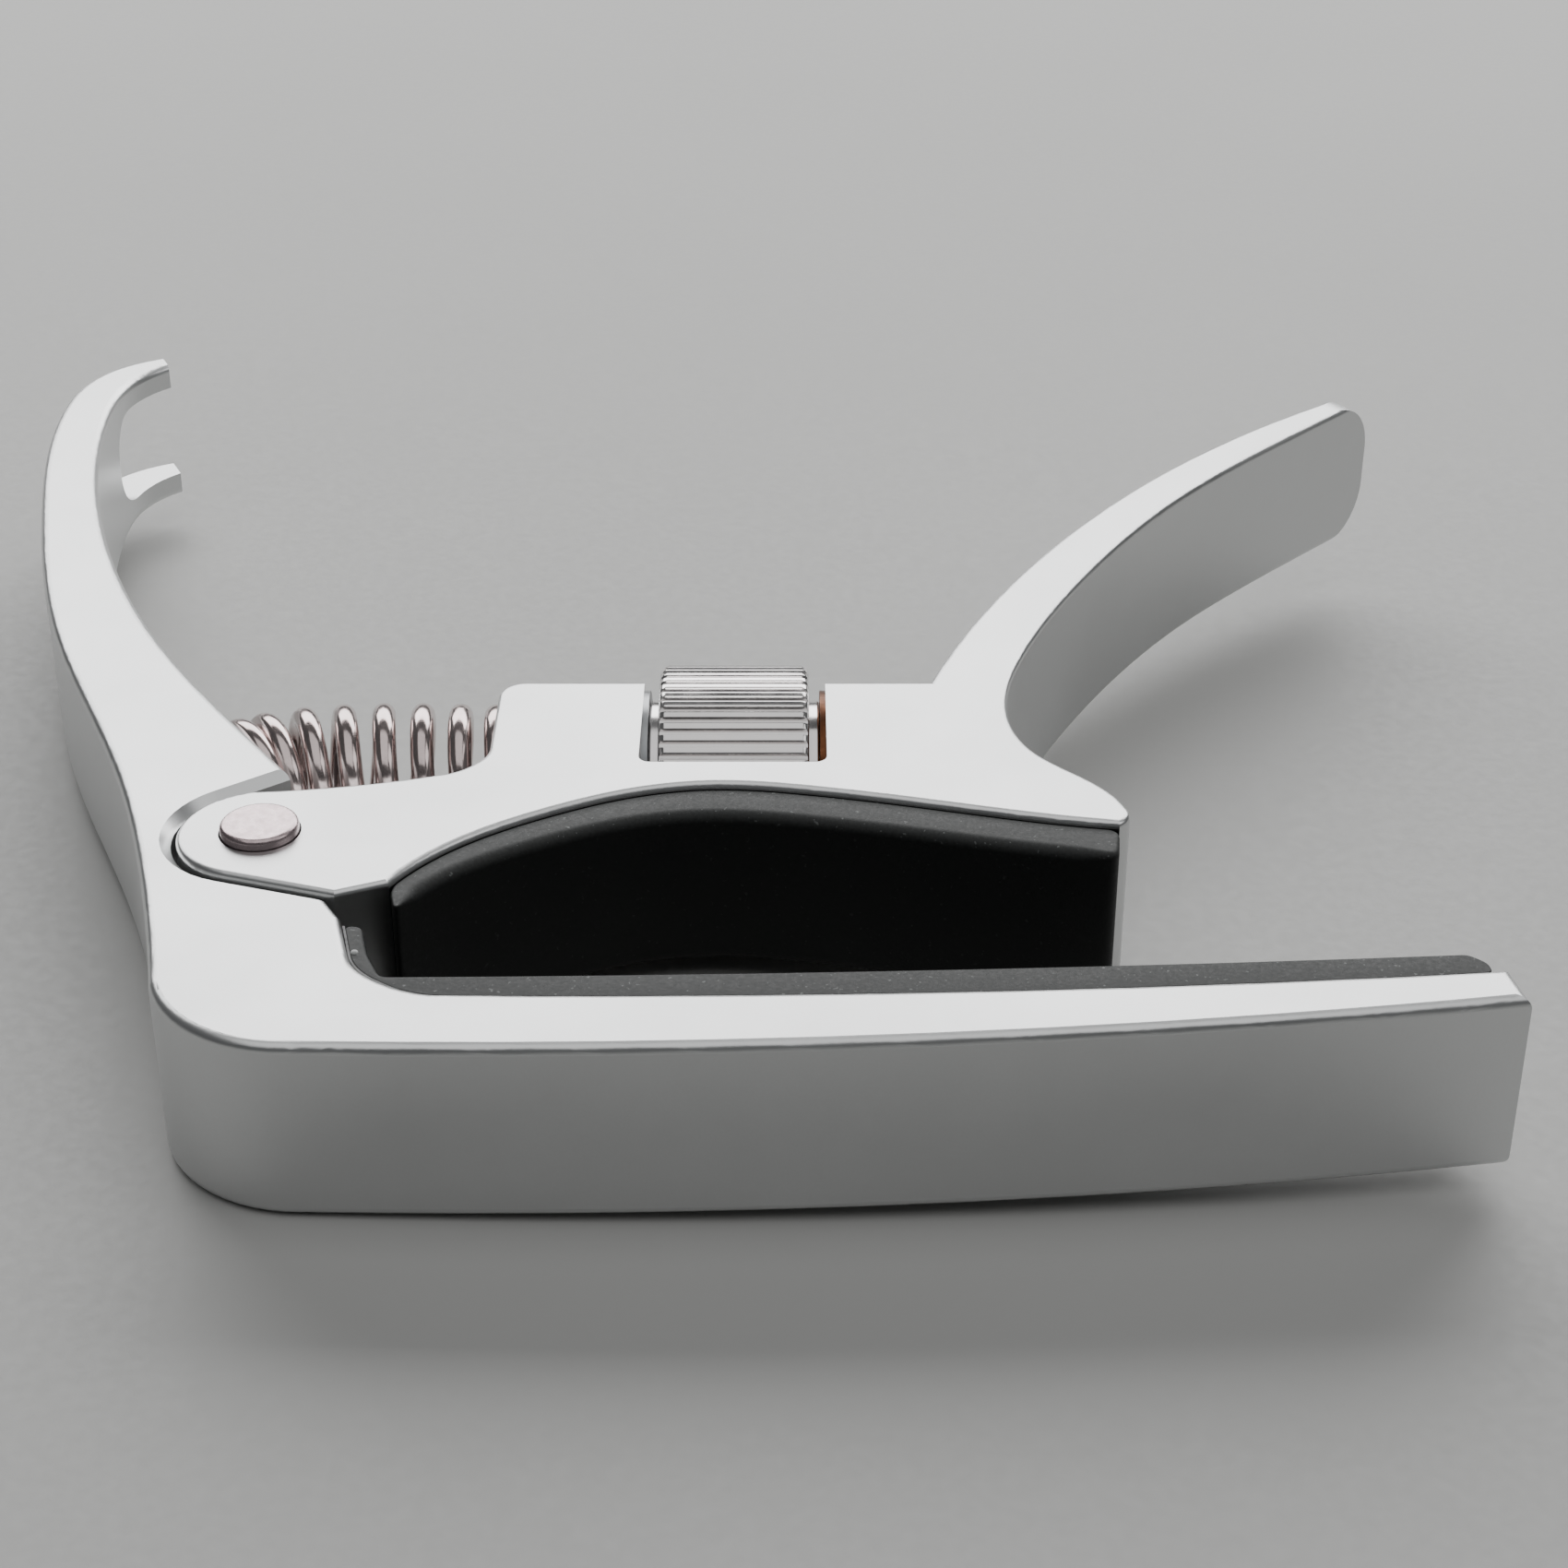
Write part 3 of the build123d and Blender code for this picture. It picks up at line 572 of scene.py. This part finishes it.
class CAPO_OT_glue(bpy.types.Operator):
    """Lay the glue behind the pads, with the bead that has squeezed out on the upstand"""

    bl_idname = "capo.glue"
    bl_label = "Glue"

    FROM_PIN = np.array([7.6, -13.3])   # the bead's place from the hinge axis, in mm
    RADIUS = 0.24 * MM
    SUNK = 0.02 * MM

    def execute(self, context):
        coat(context, cured_glue, "string_pad_adhesive", "neck_pad_adhesive")
        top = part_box("string_pad")[1].z
        height = context.scene.capo_sizes.bead_height
        angle = np.linspace(0.08, math.pi / 2, 9)
        profile = np.stack([height * np.cos(angle), self.RADIUS * np.sin(angle)], axis=1)
        profile = np.vstack([profile, [-0.1 * MM, 0.2 * MM]])
        centre = np.append(PIN[:2] + self.FROM_PIN * MM, top - self.SUNK)
        dome = turned(profile, centre, "z", 32)
        bead = new_piece(context, "glue_bead", dome, finish_of(context, clear_glue))
        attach(bead, "bar")
        return {"FINISHED"}


class CAPO_OT_spring(bpy.types.Operator):
    """Wind the tension spring between the handle and the seat"""

    bl_idname = "capo.spring"
    bl_label = "Spring"

    PEG_FACE = (-4.141, 14.888)     # where the spring meets the handle, from the hinge axis, in mm
    PEG_LEAN = math.radians(31.96)  # direction out of that face

    def centre_line(self, sizes, share):
        """Cubic curve that leaves each seat square to it; gives places and directions in plan."""
        out = np.array([math.cos(self.PEG_LEAN), math.sin(self.PEG_LEAN)])
        lift = sizes.wire_diameter / 2 + sizes.spring_clearance
        first = PIN[:2] + np.array(self.PEG_FACE) * MM + lift * out
        last = np.array([SEAT_FACE - lift, WHEEL[1]])
        knots = np.array([first, first + sizes.spring_bow * out, last - (sizes.spring_bow, 0), last])
        t, s = share, 1 - share
        weight = np.stack([s ** 3, 3 * t * s * s, 3 * t * t * s, t ** 3], axis=1)
        slope = np.stack([-3 * s * s, 3 * s * s - 6 * t * s, 6 * t * s - 3 * t * t, 3 * t * t], axis=1)
        heading = slope @ knots
        return weight @ knots, heading / np.linalg.norm(heading, axis=1)[:, None]

    def share_at(self, sizes, turn):
        """How far along the centre line the wire is after so many turns; the end coils lie flat."""
        ends, flat = sizes.spring_end_turns, sizes.spring_end_share
        free = np.clip((turn - ends) / (sizes.spring_turns - 2 * ends), 0, 1)
        first = np.minimum(turn, ends) / ends
        last = np.maximum(turn - sizes.spring_turns + ends, 0) / ends
        return flat * (first + last) + (1 - 2 * flat) * free

    def coils(self, sizes, first, last):
        """Wire whose point runs round the centre line once a turn, from one turn to another."""
        turn = np.linspace(first, last, round((last - first) * 56) + 1)
        place, heading = self.centre_line(sizes, self.share_at(sizes, turn))
        across = np.stack([-heading[:, 1], heading[:, 0], np.zeros(len(turn))], axis=1)
        angle = 2 * math.pi * (turn + sizes.spring_phase)
        out = across * np.cos(angle)[:, None] + np.array([0, 0, 1.0]) * np.sin(angle)[:, None]
        path = np.column_stack([place, np.full(len(turn), PIN[2])]) + out * sizes.coil_diameter / 2
        return tube(path, out, sizes.wire_diameter / 2)

    def execute(self, context):
        sizes = context.scene.capo_sizes
        wire = finish_of(context, bright_nickel)
        cut = sizes.spring_turns - sizes.seat_turns
        handle_side = new_piece(context, "spring_handle_side", self.coils(sizes, 0.0, cut), wire)
        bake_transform(handle_side)
        seat_side = new_piece(context, "spring_seat_side", self.coils(sizes, cut, sizes.spring_turns), wire)
        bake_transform(seat_side)
        for piece in (handle_side, seat_side):
            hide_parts("tension_spring")
        return {"FINISHED"}


class CAPO_OT_wheel(bpy.types.Operator):
    """Turn and knurl the tension wheel, with its brass core and washers"""

    bl_idname = "capo.wheel"
    bl_label = "Tension wheel"

    RIM_HALF = 5.05 * MM        # half the width of the knurled rim
    HUB_RADIUS = 5.3 * MM
    HUB_EDGE = 0.12 * MM        # rounding of the hub's rim
    BEVEL = 0.5 * MM            # bevel at each end of the knurl
    PER_TOOTH = 16              # points round the wheel for each tooth

    def execute(self, context):
        sizes = context.scene.capo_sizes
        low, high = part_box("tension_knob")
        outer = (high.z - low.z) / 2
        core = (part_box("knob_insert")[1].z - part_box("knob_insert")[0].z) / 2
        half, rim, hub = (high.x - low.x) / 2, self.RIM_HALF, self.HUB_RADIUS
        soft, bevel = self.HUB_EDGE, self.BEVEL
        right = [
            (rim - bevel, outer), (rim - 0.55 * bevel, outer - 0.12 * bevel),
            (rim - 0.2 * bevel, outer - 0.42 * bevel), (rim, outer - bevel), (rim, hub + soft),
            (rim + 0.3 * soft, hub), (half - soft, hub), (half, hub - soft), (half, core),
        ]
        left = [(-x, r) for x, r in reversed(right)]
        profile = np.array(left + right)
        teeth, around = sizes.knurl_teeth, sizes.knurl_teeth * self.PER_TOOTH
        angle = np.arange(around) * 2 * math.pi / around
        phase = np.abs((angle * teeth / (2 * math.pi) + 0.5) % 1 - 0.5)
        groove = np.clip((0.27 - phase) / 0.13, 0, 1)
        groove = groove * groove * (3 - 2 * groove)
        # each ring is the smaller of the turned profile and the grooved round
        radius = np.minimum(profile[:, 1:], outer - sizes.knurl_depth * groove[None])
        grid = np.stack([
            np.broadcast_to(profile[:, :1], radius.shape) + WHEEL[0],
            radius * np.cos(angle) + WHEEL[1],
            radius * np.sin(angle) + WHEEL[2],
        ], axis=-1)
        wheel = new_piece(context, "knurled_wheel", grid, finish_of(context, chromed_knurl), wrap_rows=True)
        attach(wheel, "knob")
        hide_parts("tension_knob")
        coat(context, turned_brass, "knob_insert", "knob_washer_right")
        coat(context, zinc_plated_steel, "knob_washer_left")
        return {"FINISHED"}


class CAPO_OT_hinge(bpy.types.Operator):
    """Set the rivet pin and its thrust washers"""

    bl_idname = "capo.hinge"
    bl_label = "Hinge"

    HEAD_EDGE = 0.34 * MM       # rounding of the pin's head

    def execute(self, context):
        low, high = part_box("pivot_pin")
        radius, half = (high.x - low.x) / 2, (high.z - low.z) / 2
        soft = self.HEAD_EDGE
        angle = np.linspace(0, math.pi / 2, 6)
        corner = np.stack([half - soft + soft * np.sin(angle), radius - soft + soft * np.cos(angle)], axis=1)
        upper = np.vstack([corner, [(half, radius - 1.3 * soft), (half, 0.45 * radius)]])
        profile = np.vstack([upper[::-1], upper * (-1, 1)])
        pin = new_piece(context, "rivet_pin", turned(profile, PIN, "z"), finish_of(context, turned_nickel))
        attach(pin, "bar")
        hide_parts("pivot_pin")
        coat(context, zinc_plated_steel, "upper_thrust_washer", "lower_thrust_washer")
        return {"FINISHED"}


class CAPO_OT_small_parts(bpy.types.Operator):
    """Plate the screw, its key, the spring's seat and the peg"""

    bl_idname = "capo.small_parts"
    bl_label = "Small parts"

    def execute(self, context):
        coat(context, zinc_plated_steel, "tension_screw", "screw_key_pin", "spring_seat", "spring_peg")
        return {"FINISHED"}


class CAPO_OT_stage(bpy.types.Operator):
    """Lay the floor, hang the soft boxes and place the camera"""

    bl_idname = "capo.stage"
    bl_label = "Floor, light and camera"

    LOW_CORNER = np.array([-0.559, -0.829, 0.0])    # way from the wheel to the outer corner on the floor
    CLEAR = 10 * MM             # places nearer the wheel than this don't set the floor's lean
    REACH = 4.0                 # from the middle of the floor to its edge
    FLOOR_GAP = 0.1 * MM
    TARGET = PIN + np.array([32.97, 5.90, 6.0]) * MM
    DISTANCE = 190.03 * MM
    DOWN = math.radians(30)

    def floor_grid(self):
        """Flat sheet that leans just enough for the capo to rest on its wheel and its outer corner."""
        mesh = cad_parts["bar_arm"].data
        place = np.empty(len(mesh.vertices) * 3)
        mesh.vertices.foreach_get("co", place)
        place = place.reshape(-1, 3)
        rest = np.array([WHEEL[0], WHEEL[1], 0.0])
        run = (place - rest) @ self.LOW_CORNER
        far = run > self.CLEAR
        lean = np.min(place[far, 2] / run[far])
        corners = self.REACH * np.array([(-1, -1), (1, -1), (1, 1), (-1, 1)])
        height = lean * ((corners - rest[:2]) @ self.LOW_CORNER[:2]) - self.FLOOR_GAP
        return np.column_stack([corners, height])

    def soft_box(self, context, name, azimuth, elevation, distance, width, height, power):
        """Rectangular light that faces the target from an azimuth and elevation, in degrees."""
        a, e = math.radians(azimuth), math.radians(elevation)
        out = np.array([math.sin(a) * math.cos(e), -math.cos(a) * math.cos(e), math.sin(e)])
        lamp = bpy.data.lights.new(name, "AREA")
        lamp.shape = "RECTANGLE"
        lamp.size, lamp.size_y, lamp.energy = width, height, power
        box = bpy.data.objects.new(name, lamp)
        context.scene.collection.objects.link(box)
        box.location = (self.TARGET + distance * out).tolist()
        box.rotation_euler = (math.radians(90 - elevation), 0, a)

    def execute(self, context):
        floor = bpy.data.meshes.new("floor")
        floor.from_pydata(self.floor_grid().tolist(), [], [(0, 1, 2, 3)])
        floor.materials.append(finish_of(context, matt_laminate))
        sheet = bpy.data.objects.new("floor", floor)
        context.scene.collection.objects.link(sheet)
        self.soft_box(context, "back_box", 180, 31, 0.75, 1.15, 0.44, 7.4)
        self.soft_box(context, "top_box", 0, 78, 0.9, 1.1, 1.0, 3.0)
        self.soft_box(context, "side_box", 80, 40, 0.9, 0.5, 0.4, 0.8)
        world = bpy.data.worlds.new("studio")
        world.use_nodes = True
        world.node_tree.nodes["Background"].inputs[0].default_value = linear("#D8DADC")
        world.node_tree.nodes["Background"].inputs[1].default_value = 0.14
        context.scene.world = world
        lens = bpy.data.cameras.new("camera")
        lens.lens, lens.sensor_width = 67.5, 36.0
        lens.clip_start, lens.clip_end = 0.01, 20.0
        camera = bpy.data.objects.new("camera", lens)
        context.scene.collection.objects.link(camera)
        back = np.array([0.0, -math.cos(self.DOWN), math.sin(self.DOWN)])
        camera.location = (self.TARGET + self.DISTANCE * back).tolist()
        camera.rotation_euler = (math.pi / 2 - self.DOWN, 0, 0)
        context.scene.camera = camera
        return {"FINISHED"}


OPERATORS = (
    CAPO_OT_castings, CAPO_OT_pads, CAPO_OT_glue, CAPO_OT_spring, CAPO_OT_wheel, CAPO_OT_hinge,
    CAPO_OT_small_parts, CAPO_OT_stage,
)


class CAPO_PT_panel(bpy.types.Panel):
    """Sidebar panel with the capo's steps and values"""

    bl_label = "Capo"
    bl_space_type = "VIEW_3D"
    bl_region_type = "UI"
    bl_category = "Capo"

    def draw(self, context):
        for group in (context.scene.capo_sizes, context.scene.capo_colours):
            for name in group.bl_rna.properties.keys():
                if name not in ("rna_type", "name"):
                    self.layout.prop(group, name)
        for operator in OPERATORS:
            self.layout.operator(operator.bl_idname)


CLASSES = (CapoSizes, CapoColours, CapoFinish, *OPERATORS, CAPO_PT_panel)


def register():
    for cls in CLASSES:
        bpy.utils.register_class(cls)
    bpy.types.Scene.capo_sizes = bpy.props.PointerProperty(type=CapoSizes)
    bpy.types.Scene.capo_colours = bpy.props.PointerProperty(type=CapoColours)
    bpy.types.Scene.capo_finishes = bpy.props.CollectionProperty(type=CapoFinish)


def unregister():
    for name in ("capo_finishes", "capo_colours", "capo_sizes"):
        delattr(bpy.types.Scene, name)
    for cls in reversed(CLASSES):
        bpy.utils.unregister_class(cls)


def main():
    register()
    for operator in OPERATORS:
        group, name = operator.bl_idname.split(".")
        getattr(getattr(bpy.ops, group), name)()


if __name__ == "__main__":
    main()
